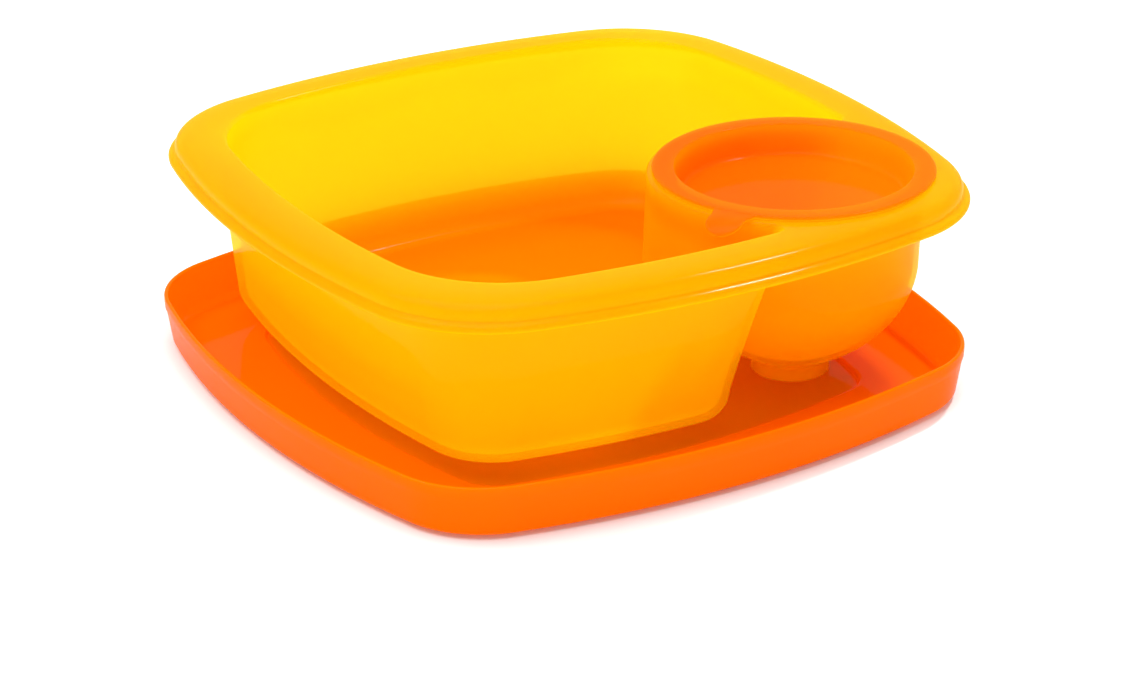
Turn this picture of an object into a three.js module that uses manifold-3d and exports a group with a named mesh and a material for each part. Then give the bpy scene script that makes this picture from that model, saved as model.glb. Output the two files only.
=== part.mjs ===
// Chip and dip server: a bowl with an L-shaped compartment and a dip cup in one
// corner, a press-in seal for the cup, and the bowl's cover turned over as a tray.
//
// Millimetres, +Z up. The origin is on the table under the middle of the tray.
// +X and -Y are the two sides that meet at the dip cup's corner.

import * as THREE from 'three';
import { mergeVertices } from 'three/addons/utils/BufferGeometryUtils.js';
import Module from 'manifold-3d';

const wasm = await Module();
wasm.setup();

// ---------------------------------------------------------------- driving sizes

const OVERALL_HALF = 103.25; // half of the 206.5 mm across the bowl's lip
const GAP = 0.3; // kept between two pieces that rest on each other

// Tray: the cover, lying open side up.
const TRAY_HEIGHT = 16.5;
const TRAY_RIM_HALF = 102.2;
const TRAY_FOOT_HALF = 100.3;
const TRAY_WALL = 1.3;
const TRAY_SIDE_RADIUS = 285;
const TRAY_CORNER_RADIUS = 31;
const PANEL_HALF = 73;
const PANEL_TOP = 1.6;
const GUTTER_UNDERSIDE = 1.2;
const GUTTER_TOP = 2.9;

// Bowl: heights are above the plane its feet stand on.
const BOWL_X = 7.0;
const BOWL_Y = 7.8;
const BOWL_TURN = -0.029; // radians, as it was set down
const DECK_TOP = 62.0;
const DECK_UNDERSIDE = 59.9;
const BEAD_HALF = 101.2;
const LIP_HEIGHT = 55.3;
const RIM_SIDE_RADIUS = 300;
const RIM_CORNER_RADIUS = 42;
const WALL_TOP = 61.0; // inside the deck's thickness
const WALL_FOOT = 13.0; // where the walls start to round into the floor
const FLOOR_UNDERSIDE = 5.0;
const FLOOR_THICKNESS = 2.2;
const FOOT_RING_RADIUS = 36;
const FOOT_RING_OFFSET = 22;

// The compartment's walls change evenly from one outline at the top to another at
// the foot. Each outline is a bulged square with a round notch in the cup's corner.
const OUTER_WALL = {
  half: [89.2, 83.3],
  sideRadius: [310, 330],
  cornerRadius: [34, 24],
  notchRadius: [40.4, 42.0],
  filletRadius: [6, 13],
};
const INNER_WALL = {
  half: [86.2, 81.1],
  sideRadius: [315, 328],
  cornerRadius: [37, 22.5],
  notchRadius: [42.6, 44.2],
  filletRadius: [3, 10.8],
};

// Dip cup, part of the bowl.
const CUP_OFFSET = 48.75; // along +X and along -Y from the middle of the bowl
const CUP_WALL = 1.6;
const CUP_WIDEST = 36.75;
const CUP_WIDEST_HEIGHT = 35.2;
const CUP_MOUTH_RADIUS = 37.7;
const CUP_BOTTOM = 3.2;
const CUP_ROUNDNESS = 1.84; // 2 would be an ellipse
const CUP_FOOT_RADIUS = 11.5;
const CUP_FOOT_HEIGHT = 4.6;

// Cup seal.
const SEAL_TOP = 63.4;
const SEAL_RING_RADIUS = 41.0;
const SEAL_RECESS_RADIUS = 34.6;
const SEAL_RECESS_DEPTH = 9.0;
const SEAL_SKIN = 1.0;
const TAB_DIRECTION = THREE.MathUtils.degToRad(212);
const TAB_REACH = 52;
const TAB_ROOT_WIDTH = 13;
const TAB_TIP_WIDTH = 10.8;
const TAB_DROOP = 2.6;

// Fineness of the curves.
const SIDE_STEPS = 6;
const CORNER_STEPS = 8;
const NOTCH_STEPS = 16;
const FILLET_STEPS = 4;
const ROUND_STEPS = 48;
const CUP_STEPS = 10;

// -------------------------------------------------------------------- outlines

/** Points along an arc, leaving out its last point. */
function arcPoints(centre, radius, from, to, steps) {
  const points = [];
  for (let i = 0; i < steps; i += 1) {
    const angle = from + ((to - from) * i) / steps;
    const x = centre.x + radius * Math.cos(angle);
    const y = centre.y + radius * Math.sin(angle);
    points.push(new THREE.Vector2(x, y));
  }
  return points;
}

/** Centre distances and the join angle of a square with bulging sides and round corners. */
function bulgedSquare(half, sideRadius, cornerRadius) {
  const sideCentre = sideRadius - half;
  const reach = sideRadius - cornerRadius;
  const cornerCentre = (Math.sqrt(2 * reach * reach - sideCentre * sideCentre) - sideCentre) / 2;
  const join = Math.atan2(cornerCentre, cornerCentre + sideCentre);
  return { half, sideRadius, cornerRadius, sideCentre, cornerCentre, join };
}

/** The arc of one side, numbered anticlockwise from the +X side. */
function sideArc(square, side, from = -square.join, to = square.join, steps = SIDE_STEPS) {
  const turn = (side * Math.PI) / 2;
  const centre = new THREE.Vector2(-square.sideCentre, 0).rotateAround(new THREE.Vector2(), turn);
  return arcPoints(centre, square.sideRadius, turn + from, turn + to, steps);
}

/** The round corner that follows a side. */
function cornerArc(square, side) {
  const turn = (side * Math.PI) / 2;
  const k = square.cornerCentre;
  const centre = new THREE.Vector2(k, k).rotateAround(new THREE.Vector2(), turn);
  const end = Math.PI / 2 - square.join;
  return arcPoints(centre, square.cornerRadius, turn + square.join, turn + end, CORNER_STEPS);
}

/** A full bulged square, anticlockwise. */
function squareOutline(square) {
  return [0, 1, 2, 3].flatMap((side) => [...sideArc(square, side), ...cornerArc(square, side)]);
}

/** Outline of the tray at a given half width: every outline is parallel to the rim. */
function trayOutline(half) {
  const inset = TRAY_RIM_HALF - half;
  const corner = Math.max(TRAY_CORNER_RADIUS - inset, 12);
  return squareOutline(bulgedSquare(half, TRAY_SIDE_RADIUS - inset, corner));
}

/** Outline of the bowl's rim at a given half width. */
function rimOutline(half) {
  const inset = OVERALL_HALF - half;
  const side = RIM_SIDE_RADIUS + 0.6 * inset;
  return squareOutline(bulgedSquare(half, side, RIM_CORNER_RADIUS - 0.42 * inset));
}

/** The fillet between the +X side and the notch, which touches both circles. */
function filletCentre(square, notchRadius, filletRadius) {
  const sideCentre = new THREE.Vector2(-square.sideCentre, 0);
  const cup = new THREE.Vector2(CUP_OFFSET, -CUP_OFFSET);
  const fromSide = square.sideRadius - filletRadius;
  const fromCup = notchRadius + filletRadius;
  const unit = cup.clone().sub(sideCentre);
  const span = unit.length();
  unit.normalize();
  const along = (fromSide ** 2 - fromCup ** 2 + span ** 2) / (2 * span);
  const across = Math.sqrt(fromSide ** 2 - along ** 2);
  const centre = new THREE.Vector2(-unit.y, unit.x).multiplyScalar(across);
  return centre.addScaledVector(unit, along).add(sideCentre);
}

/** Outline of one face of the compartment's wall at a height, moved in by an inset. */
function wallOutline(wall, height, inset = 0) {
  const share = Math.max(0, Math.min(1, (WALL_TOP - height) / (WALL_TOP - WALL_FOOT)));
  const at = (pair) => THREE.MathUtils.lerp(pair[0], pair[1], share);
  const cornerRadius = at(wall.cornerRadius) - inset;
  const square = bulgedSquare(at(wall.half) - inset, at(wall.sideRadius) - inset, cornerRadius);
  const notch = at(wall.notchRadius) + inset;
  const filletRadius = at(wall.filletRadius) - inset;
  const fillet = filletCentre(square, notch, filletRadius);
  const cup = new THREE.Vector2(CUP_OFFSET, -CUP_OFFSET);
  const sideEnd = Math.atan2(fillet.y, fillet.x + square.sideCentre);
  const notchEnd = Math.atan2(fillet.y - cup.y, fillet.x - cup.x);

  // The other arm is the mirror image: an angle a on this one is mirror - a on that one.
  const mirror = -Math.PI / 2;
  const mirrored = new THREE.Vector2(-fillet.y, -fillet.x);
  const half = SIDE_STEPS / 2;
  return [
    ...sideArc(square, 0, sideEnd, square.join, half),
    ...cornerArc(square, 0),
    ...sideArc(square, 1),
    ...cornerArc(square, 1),
    ...sideArc(square, 2),
    ...cornerArc(square, 2),
    ...sideArc(square, 3, -square.join, -sideEnd, half),
    ...arcPoints(mirrored, filletRadius, mirror - sideEnd, mirror - notchEnd + Math.PI, FILLET_STEPS),
    ...arcPoints(cup, notch, mirror - notchEnd + 2 * Math.PI, notchEnd, NOTCH_STEPS),
    ...arcPoints(fillet, filletRadius, notchEnd - Math.PI, sideEnd, FILLET_STEPS),
  ];
}

// ------------------------------------------------------------- solids from them

/** Points of a round stretch of a section, from one angle to another. */
function rounding(half, height, radius, fromDegrees, toDegrees, steps) {
  const points = [];
  for (let i = 0; i <= steps; i += 1) {
    const angle = THREE.MathUtils.degToRad(fromDegrees + ((toDegrees - fromDegrees) * i) / steps);
    points.push([half + radius * Math.cos(angle), height + radius * Math.sin(angle)]);
  }
  return points;
}

/** A lathe whose rings follow outlines. A ring with no outline is a point on the axis. */
function outlineLathe(rings, axis = new THREE.Vector2()) {
  const steps = rings.find((ring) => ring.outline).outline.length;
  const profile = rings.map((ring) => new THREE.Vector2(ring.outline ? 1 : 0, ring.height));
  const geometry = new THREE.LatheGeometry(profile, steps);
  const position = geometry.attributes.position;
  for (let i = 0; i < position.count; i += 1) {
    const { outline, height } = rings[i % rings.length];
    const point = outline ? outline[Math.floor(i / rings.length) % steps] : axis;
    position.setXYZ(i, point.x, point.y, height);
  }
  return geometry;
}

/** Rings of a section of [half width, height] points; a half width of 0 is on the axis. */
function sectionRings(section, outlineAt) {
  return section.map(([half, height]) => ({ outline: half > 0 ? outlineAt(half) : null, height }));
}

/** A plain round lathe about +Z. */
function roundLathe(section) {
  const profile = section.map(([radius, height]) => new THREE.Vector2(radius, height));
  return new THREE.LatheGeometry(profile, ROUND_STEPS).rotateX(Math.PI / 2);
}

/** A closed geometry as a solid that can be joined and cut. */
function toSolid(geometry) {
  const bare = geometry.clone();
  bare.deleteAttribute('normal');
  bare.deleteAttribute('uv');
  const merged = mergeVertices(bare, 1e-4);
  const corners = merged.index.array;
  const triangles = [];
  for (let i = 0; i < corners.length; i += 3) {
    const [a, b, c] = corners.slice(i, i + 3);
    if (a !== b && b !== c && c !== a) triangles.push(a, b, c);
  }
  const mesh = new wasm.Mesh({
    numProp: 3,
    vertProperties: Float32Array.from(merged.attributes.position.array),
    triVerts: Uint32Array.from(triangles),
  });
  return new wasm.Manifold(mesh);
}

/** A joined or cut solid as a geometry. */
function toGeometry(solid) {
  const mesh = solid.getMesh();
  const geometry = new THREE.BufferGeometry();
  geometry.setAttribute('position', new THREE.BufferAttribute(mesh.vertProperties, 3));
  geometry.setIndex(new THREE.BufferAttribute(mesh.triVerts, 1));
  geometry.computeVertexNormals();
  return geometry;
}

/** A straight-sided prism over an outline. */
function prism(outline, bottom, top) {
  const options = { depth: top - bottom, bevelEnabled: false };
  return new THREE.ExtrudeGeometry(new THREE.Shape(outline), options).translate(0, 0, bottom);
}

// -------------------------------------------------------------------- the tray

function trayGeometry() {
  const inner = TRAY_RIM_HALF - TRAY_WALL;
  const section = [
    [0, 0],
    [PANEL_HALF - 1.0, 0],
    [PANEL_HALF + 0.4, GUTTER_UNDERSIDE],
    [TRAY_FOOT_HALF - 1.6, GUTTER_UNDERSIDE],
    [TRAY_FOOT_HALF - 0.4, GUTTER_UNDERSIDE + 0.6],
    [TRAY_FOOT_HALF, GUTTER_UNDERSIDE + 1.8],
    [TRAY_RIM_HALF - 0.6, TRAY_HEIGHT - 4.6],
    [TRAY_RIM_HALF - 0.1, TRAY_HEIGHT - 3.6],
    [TRAY_RIM_HALF, TRAY_HEIGHT - 1.0],
    [TRAY_RIM_HALF - 0.4, TRAY_HEIGHT - 0.2],
    [TRAY_RIM_HALF - TRAY_WALL / 2, TRAY_HEIGHT],
    [inner + 0.1, TRAY_HEIGHT - 0.3],
    [inner - 0.1, TRAY_HEIGHT - 1.2],
    [TRAY_FOOT_HALF - TRAY_WALL, GUTTER_TOP + 1.8],
    [TRAY_FOOT_HALF - TRAY_WALL - 0.6, GUTTER_TOP + 0.6],
    [TRAY_FOOT_HALF - TRAY_WALL - 1.9, GUTTER_TOP],
    [PANEL_HALF + 0.9, GUTTER_TOP],
    [PANEL_HALF, PANEL_TOP],
    [0, PANEL_TOP],
  ];
  return outlineLathe(sectionRings(section, trayOutline));
}

// -------------------------------------------------------------------- the bowl

/** The flat deck with the rolled bead and the flaring lip all round, still whole. */
function deckSolid() {
  const section = [
    [0, DECK_UNDERSIDE],
    [BEAD_HALF - 3.2, DECK_UNDERSIDE],
    [BEAD_HALF - 2.2, DECK_UNDERSIDE - 1.0],
    [BEAD_HALF - 2.0, LIP_HEIGHT + 1.2],
    [OVERALL_HALF - 1.5, LIP_HEIGHT - 1.3],
    [OVERALL_HALF - 0.4, LIP_HEIGHT - 1.0],
    [OVERALL_HALF, LIP_HEIGHT],
    [OVERALL_HALF - 0.5, LIP_HEIGHT + 1.0],
    [BEAD_HALF - 0.2, LIP_HEIGHT + 1.9],
    [BEAD_HALF, DECK_TOP - 4.2],
    [BEAD_HALF - 0.3, DECK_TOP - 2.9],
    [BEAD_HALF - 1.1, DECK_TOP - 1.8],
    [BEAD_HALF - 2.4, DECK_TOP - 1.0],
    [BEAD_HALF - 5.0, DECK_TOP - 0.4],
    [BEAD_HALF - 9.0, DECK_TOP],
    [0, DECK_TOP],
  ];
  return toSolid(outlineLathe(sectionRings(section, rimOutline)));
}

/** The thin L-shaped compartment, from its floor up into the deck. */
function compartmentSolid() {
  const outerRound = WALL_FOOT - FLOOR_UNDERSIDE;
  const innerRound = outerRound - FLOOR_THICKNESS;
  const outer = rounding(-outerRound, WALL_FOOT, outerRound, -90, 0, 5);
  const inner = rounding(-innerRound, WALL_FOOT, innerRound, 0, -90, 5);
  const rings = [
    { outline: null, height: FLOOR_UNDERSIDE },
    ...outer.map(([out, height]) => ({ outline: wallOutline(OUTER_WALL, height, -out), height })),
    { outline: wallOutline(OUTER_WALL, WALL_TOP), height: WALL_TOP },
    { outline: wallOutline(INNER_WALL, WALL_TOP), height: WALL_TOP },
    ...inner.map(([out, height]) => ({ outline: wallOutline(INNER_WALL, height, -out), height })),
    { outline: null, height: FLOOR_UNDERSIDE + FLOOR_THICKNESS },
  ];
  const axis = new THREE.Vector2(-52, 52); // sees the whole edge of the floor
  return toSolid(outlineLathe(rings, axis));
}

/** Section of the cup's round body, from its foot to a given height at the mouth. */
function cupSection(widest, mouthRadius, bottom, startRadius, mouthHeight) {
  const depth = CUP_WIDEST_HEIGHT - bottom;
  const start = 1 - (startRadius / widest) ** CUP_ROUNDNESS;
  const startAngle = Math.acos(start ** (1 / 2));
  const points = [];
  for (let i = 0; i <= CUP_STEPS; i += 1) {
    const angle = startAngle + ((Math.PI / 2 - startAngle) * i) / CUP_STEPS;
    const radius = widest * Math.sin(angle) ** (2 / CUP_ROUNDNESS);
    const height = CUP_WIDEST_HEIGHT - depth * Math.cos(angle) ** (2 / CUP_ROUNDNESS);
    points.push([radius, height]);
  }
  return [...points, [mouthRadius, mouthHeight]];
}

function cupOuterSolid() {
  const section = [
    [0, 1.2],
    [CUP_FOOT_RADIUS - 2.0, 1.2],
    [CUP_FOOT_RADIUS - 1.6, 0],
    [CUP_FOOT_RADIUS, 0],
    [CUP_FOOT_RADIUS, CUP_FOOT_HEIGHT - 1.0],
    ...cupSection(CUP_WIDEST, CUP_MOUTH_RADIUS, CUP_BOTTOM, CUP_FOOT_RADIUS + 1.0, DECK_TOP - 0.5),
    [0, DECK_TOP - 0.5],
  ];
  return toSolid(roundLathe(section).translate(CUP_OFFSET, -CUP_OFFSET, 0));
}

function cupCavitySolid() {
  const widest = CUP_WIDEST - CUP_WALL;
  const mouth = CUP_MOUTH_RADIUS - CUP_WALL;
  const above = DECK_TOP + 2;
  const section = [...cupSection(widest, mouth, CUP_BOTTOM + CUP_WALL, 0, above), [0, above]];
  return toSolid(roundLathe(section).translate(CUP_OFFSET, -CUP_OFFSET, 0));
}

/** The low round foot under the compartment, level with the cup's foot. */
function footRingSolid() {
  const inner = FOOT_RING_RADIUS - 2.4;
  const top = FLOOR_UNDERSIDE + FLOOR_THICKNESS / 2;
  const section = [[inner, 0], [FOOT_RING_RADIUS, 0], [FOOT_RING_RADIUS, top], [inner, top], [inner, 0]];
  return toSolid(roundLathe(section).translate(-FOOT_RING_OFFSET, FOOT_RING_OFFSET, 0));
}

function bowlGeometry() {
  const opening = toSolid(prism(wallOutline(INNER_WALL, WALL_TOP), DECK_UNDERSIDE - 1, DECK_TOP + 1));
  const deck = deckSolid().subtract(opening);
  const shell = deck.add(compartmentSolid()).add(cupOuterSolid()).add(footRingSolid());
  return toGeometry(shell.subtract(cupCavitySolid()));
}

// -------------------------------------------------------------------- the seal

/** Ring and recessed disc, turned as one. */
function sealDiscSolid() {
  const underside = DECK_TOP + GAP;
  const recessFloor = SEAL_TOP - SEAL_RECESS_DEPTH;
  const plug = SEAL_RECESS_RADIUS + SEAL_SKIN;
  const section = [
    [0, recessFloor - SEAL_SKIN],
    [plug - 3.4, recessFloor - SEAL_SKIN],
    [plug - 1.6, recessFloor + 0.6],
    [plug - 0.3, underside - 1.2],
    [plug, underside],
    [SEAL_RING_RADIUS - 0.4, underside],
    [SEAL_RING_RADIUS, underside + 0.4],
    [SEAL_RING_RADIUS - 0.1, SEAL_TOP - 0.5],
    [SEAL_RING_RADIUS - 0.6, SEAL_TOP],
    [SEAL_RECESS_RADIUS + 0.5, SEAL_TOP],
    [SEAL_RECESS_RADIUS, SEAL_TOP - 0.5],
    [SEAL_RECESS_RADIUS - 1.4, recessFloor + 1.6],
    [SEAL_RECESS_RADIUS - 3.0, recessFloor],
    [0, recessFloor],
  ];
  return toSolid(roundLathe(section));
}

/** The pull tab: a drooping strip, cut to a tapered plan with a round tip. */
function tabSolid() {
  const start = SEAL_RECESS_RADIUS + 2;
  const straight = INNER_WALL.notchRadius[0] + 1; // the deck ends before this radius
  const underside = DECK_TOP + GAP;

  const side = new THREE.Shape();
  side.moveTo(start, underside);
  side.lineTo(straight, underside);
  side.quadraticCurveTo(TAB_REACH - 4, underside, TAB_REACH, underside - TAB_DROOP);
  side.lineTo(TAB_REACH + 1, SEAL_TOP - TAB_DROOP + 0.8);
  side.quadraticCurveTo(TAB_REACH - 3, SEAL_TOP - 0.1, straight, SEAL_TOP - 0.1);
  side.lineTo(start, SEAL_TOP - 0.1);
  const sideOptions = { depth: 2 * TAB_ROOT_WIDTH, bevelEnabled: false, curveSegments: 6 };
  const strip = new THREE.ExtrudeGeometry(side, sideOptions);
  strip.translate(0, 0, -TAB_ROOT_WIDTH).rotateX(Math.PI / 2);

  const tip = TAB_TIP_WIDTH / 2;
  const root = TAB_ROOT_WIDTH / 2;
  const plan = new THREE.Shape();
  plan.moveTo(start, -root);
  plan.lineTo(SEAL_RING_RADIUS - 1, -root);
  plan.quadraticCurveTo(SEAL_RING_RADIUS + 2, -tip, TAB_REACH - tip, -tip);
  plan.absarc(TAB_REACH - tip, 0, tip, -Math.PI / 2, Math.PI / 2, false);
  plan.quadraticCurveTo(SEAL_RING_RADIUS + 2, tip, SEAL_RING_RADIUS - 1, root);
  plan.lineTo(start, root);
  const planOptions = { depth: 20, bevelEnabled: false, curveSegments: 8 };
  const cutter = new THREE.ExtrudeGeometry(plan, planOptions).translate(0, 0, SEAL_TOP - 10);

  return toSolid(strip.rotateZ(TAB_DIRECTION)).intersect(toSolid(cutter.rotateZ(TAB_DIRECTION)));
}

function sealGeometry() {
  return toGeometry(sealDiscSolid().add(tabSolid()));
}

// -------------------------------------------------------------------- assembly

const orangePlastic = new THREE.MeshStandardMaterial({ color: 0xff5c0a, roughness: 0.22, metalness: 0 });
const yellowPlastic = new THREE.MeshStandardMaterial({ color: 0xffb60a, roughness: 0.3, metalness: 0 });

const server = new THREE.Group();

const tray = new THREE.Mesh(trayGeometry(), orangePlastic);
tray.name = 'tray_cover';
server.add(tray);

const served = new THREE.Group();
served.position.set(BOWL_X, BOWL_Y, PANEL_TOP + GAP);
served.rotation.z = BOWL_TURN;
server.add(served);

const bowl = new THREE.Mesh(bowlGeometry(), yellowPlastic);
bowl.name = 'bowl';
served.add(bowl);

const seal = new THREE.Mesh(sealGeometry(), orangePlastic);
seal.name = 'cup_seal';
seal.position.set(CUP_OFFSET, -CUP_OFFSET, 0);
served.add(seal);

export default server;
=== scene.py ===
"""Chip and dip server: visual model of the bowl, its cup seal and its upturned cover."""

import math

import bmesh
import bpy
from bpy.props import FloatProperty, FloatVectorProperty, PointerProperty
from mathutils import Matrix, Vector, kdtree
from mathutils.geometry import interpolate_bezier


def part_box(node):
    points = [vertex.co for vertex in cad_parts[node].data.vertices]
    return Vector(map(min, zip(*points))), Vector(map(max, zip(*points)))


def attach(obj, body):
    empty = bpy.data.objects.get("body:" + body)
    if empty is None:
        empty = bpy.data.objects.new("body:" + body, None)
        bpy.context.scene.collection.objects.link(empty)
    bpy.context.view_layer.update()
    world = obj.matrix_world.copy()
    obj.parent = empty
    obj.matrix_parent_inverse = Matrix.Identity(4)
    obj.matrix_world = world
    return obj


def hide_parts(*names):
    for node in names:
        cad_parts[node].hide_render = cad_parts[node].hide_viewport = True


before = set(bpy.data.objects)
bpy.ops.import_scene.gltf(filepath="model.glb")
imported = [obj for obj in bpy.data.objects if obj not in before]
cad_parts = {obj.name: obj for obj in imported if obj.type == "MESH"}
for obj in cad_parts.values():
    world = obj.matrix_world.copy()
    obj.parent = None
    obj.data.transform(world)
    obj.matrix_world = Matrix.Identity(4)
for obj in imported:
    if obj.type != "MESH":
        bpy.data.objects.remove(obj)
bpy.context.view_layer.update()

bl_info = {
    "name": "Chip and Dip Server",
    "version": (1, 0, 0),
    "blender": (4, 5, 0),
    "location": "3D View > Sidebar > Server",
    "description": "Models a serving bowl with a sealed dip cup, standing in its cover",
    "category": "Add Mesh",
}

MM = 0.001
TRAY_LOW, TRAY_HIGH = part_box("tray_cover")
BOWL_LOW, BOWL_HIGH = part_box("bowl")

# How finely the curves are cut.
SIDE_STEPS = 16
CORNER_STEPS = 22
NOTCH_STEPS = 44
FILLET_STEPS = 10
ROUND_STEPS = 112
SHOULDER_STEPS = 9
TAB_STEPS = 12
TAB_TIP_ANGLES = (15, 30, 45, 57, 67, 75, 82, 87)
TAB_SECTION_STEPS = 20

SHARP_ANGLE = math.radians(60)
LEVEL_TOLERANCE = 1e-6


# ------------------------------------------------------------------ the sizes


def length(name, description, size):
    """A length property, from millimetres."""
    return FloatProperty(
        name=name,
        description=description,
        default=size * MM,
        min=0.0,
        unit="LENGTH",
        precision=5,
    )


def angle(name, description, size):
    """An angle property, from radians."""
    return FloatProperty(name=name, description=description, default=size, unit="ROTATION")


class TraySizes(bpy.types.PropertyGroup):
    """Sizes of the cover that serves as a tray."""

    rim_half: length("Rim Half Width", "From the middle to the outside of the rim", 102.2)
    foot_half: length("Foot Half Width", "From the middle to the outside of the foot", 100.3)
    wall: length("Wall", "Thickness of the wall", 1.3)
    side_radius: length("Side Radius", "Radius of the bulging sides", 285)
    corner_radius: length("Corner Radius", "Radius of the round corners", 31)
    panel_half: length("Panel Half Width", "From the middle to the edge of the square panel", 73)
    panel_top: length("Panel Top", "Height of the panel's upper face", 1.6)
    gutter_top: length("Gutter Top", "Height of the gutter's upper face", 2.9)
    gutter_underside: length("Gutter Underside", "Height of the gutter's lower face", 1.2)


class BowlSizes(bpy.types.PropertyGroup):
    """Sizes of the bowl, with heights above the plane its feet stand on."""

    turn: angle("Turn", "How far the bowl is turned on the tray", -0.029)
    lip_half: length("Lip Half Width", "From the middle to the edge of the lip", 103.12)
    bead_half: length("Bead Half Width", "From the middle to the outside of the bead", 101.2)
    lip_height: length("Lip Height", "Height of the lip's edge", 55.3)
    deck_top: length("Deck Top", "Height of the deck's upper face", 62.0)
    deck_underside: length("Deck Underside", "Height of the deck's lower face", 59.9)
    wall_foot: length("Wall Foot", "Height where the walls start to round into the floor", 13.0)
    floor_underside: length("Floor Underside", "Height of the floor's lower face", 5.0)
    floor: length("Floor", "Thickness of the floor", 2.2)
    foot_ring_radius: length("Foot Ring Radius", "Outer radius of the low foot ring", 36.0)
    foot_ring_width: length("Foot Ring Width", "Width of the low foot ring", 2.4)
    foot_ring_offset: length("Foot Ring Offset", "From the middle, along -X and along Y", 22.0)
    cup_offset: length("Cup Offset", "From the middle to the cup, along X and along -Y", 48.75)
    cup_widest: length("Cup Widest", "Outer radius of the cup at its widest", 36.75)
    cup_widest_height: length("Cup Widest Height", "Height where the cup is widest", 35.2)
    cup_bottom: length("Cup Bottom", "Height of the lowest point of the cup's belly", 3.2)
    cup_mouth: length("Cup Mouth", "Outer radius of the cup under the deck", 37.7)
    cup_wall: length("Cup Wall", "Thickness of the dip cup's wall", 1.6)
    cup_foot_radius: length("Cup Foot Radius", "Radius of the cup's round foot", 11.5)


class SealSizes(bpy.types.PropertyGroup):
    """Sizes of the cup's seal."""

    top: length("Top", "Height of the ring above the bowl's feet", 63.4)
    ring_radius: length("Ring Radius", "Outer radius of the ring", 41.0)
    recess_radius: length("Recess Radius", "Inner radius of the ring", 34.6)
    recess_depth: length("Recess Depth", "Depth of the recessed disc", 9.0)
    skin: length("Skin", "Thickness of the recessed disc", 1.0)
    tab_reach: length("Tab Reach", "From the cup's axis to the tip of the pull tab", 52.0)
    tab_root_width: length("Tab Root Width", "Width of the pull tab at the ring", 13.0)
    tab_tip_width: length("Tab Tip Width", "Width of the pull tab near its tip", 10.8)
    tab_droop: length("Tab Droop", "How far the tip hangs below the ring", 2.6)
    tab_direction: angle("Tab Direction", "Way the tab points", math.radians(212))


def colour(name, description, value):
    """A colour property."""
    return FloatVectorProperty(
        name=name,
        description=description,
        subtype="COLOR",
        size=4,
        min=0.0,
        max=1.0,
        default=(*value, 1.0),
    )


class ServerColours(bpy.types.PropertyGroup):
    """Colours of the plastics and of the stage."""

    yellow: colour("Yellow", "Colour of the bowl's thin walls", (0.98, 0.44, 0.0))
    # The deep yellow colours the faint clouds. Towards the rim it is also partly painted shade
    # that darkens the top faces against the strong top light.
    yellow_deep_and_top_shade: colour("Deep Yellow", "Colour of the bowl's thick rim", (0.85, 0.28, 0.0))
    yellow_glow: colour("Yellow Glow", "Light scattered in the bowl", (1.0, 0.86, 0.02))
    yellow_tint: colour("Yellow Tint", "Light through one face of the bowl", (0.97, 0.84, 0.14))
    orange: colour("Orange", "Colour of the tray's plastic", (1.0, 0.215, 0.0))
    orange_deep: colour("Deep Orange", "Colour of the tray's faint clouds", (1.0, 0.2, 0.0))
    orange_glow: colour("Orange Glow", "Light scattered in the tray", (1.0, 0.5, 0.01))
    seal: colour("Seal Orange", "Colour of the seal's plastic", (1.0, 0.2, 0.003))
    seal_deep: colour("Deep Seal Orange", "Colour of the seal's faint clouds", (1.0, 0.18, 0.002))
    seal_glow: colour("Seal Glow", "Light scattered in the seal", (1.0, 0.75, 0.01))
    seal_tint: colour("Seal Tint", "Light through one face of the seal", (1.0, 0.62, 0.03))
    floor: colour("Floor", "Colour of the floor", (0.78, 0.78, 0.78))


# --------------------------------------------------------------- the outlines


def arc(centre, radius, start, end, steps):
    """Points along an arc, without its last one."""
    x, y = centre
    angles = [start + (end - start) * i / steps for i in range(steps)]
    return [Vector((x + radius * math.cos(a), y + radius * math.sin(a))) for a in angles]


def circle(centre, radius):
    """A full circle of points."""
    return arc(centre, radius, 0.0, math.tau, ROUND_STEPS)


def bulged_square(half, side_radius, corner_radius):
    """The arc centres and the join angle of a square with bulging sides and round corners."""
    side_centre = side_radius - half
    reach = side_radius - corner_radius
    corner_centre = (math.sqrt(2 * reach**2 - side_centre**2) - side_centre) / 2
    join = math.atan2(corner_centre, corner_centre + side_centre)
    return side_radius, side_centre, corner_radius, corner_centre, join


def turned(point, quarter):
    """A point turned about the middle by quarter turns."""
    return Matrix.Rotation(quarter * math.pi / 2, 2) @ Vector(point)


def side(square, quarter, start=None, end=None, steps=SIDE_STEPS):
    """One bulging side, or the stretch of it between two angles."""
    side_radius, side_centre, _, _, join = square
    start = -join if start is None else start
    end = join if end is None else end
    base = quarter * math.pi / 2
    return arc(turned((-side_centre, 0), quarter), side_radius, base + start, base + end, steps)


def corner(square, quarter):
    """The round corner after a side."""
    _, _, corner_radius, corner_centre, join = square
    base = quarter * math.pi / 2
    centre = turned((corner_centre, corner_centre), quarter)
    return arc(centre, corner_radius, base + join, base + math.pi / 2 - join, CORNER_STEPS)


def square_outline(square):
    """A whole bulged square, anticlockwise."""
    points = []
    for quarter in range(4):
        points += side(square, quarter) + corner(square, quarter)
    return points


def touching_circle(first, first_distance, second, second_distance):
    """Centre of a circle at set distances from two others, on the left of the way across."""
    way = second - first
    span = way.length
    way.normalize()
    along = (first_distance**2 - second_distance**2 + span**2) / (2 * span)
    across = math.sqrt(first_distance**2 - along**2)
    return first + way * along + Vector((-way.y, way.x)) * across


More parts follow.
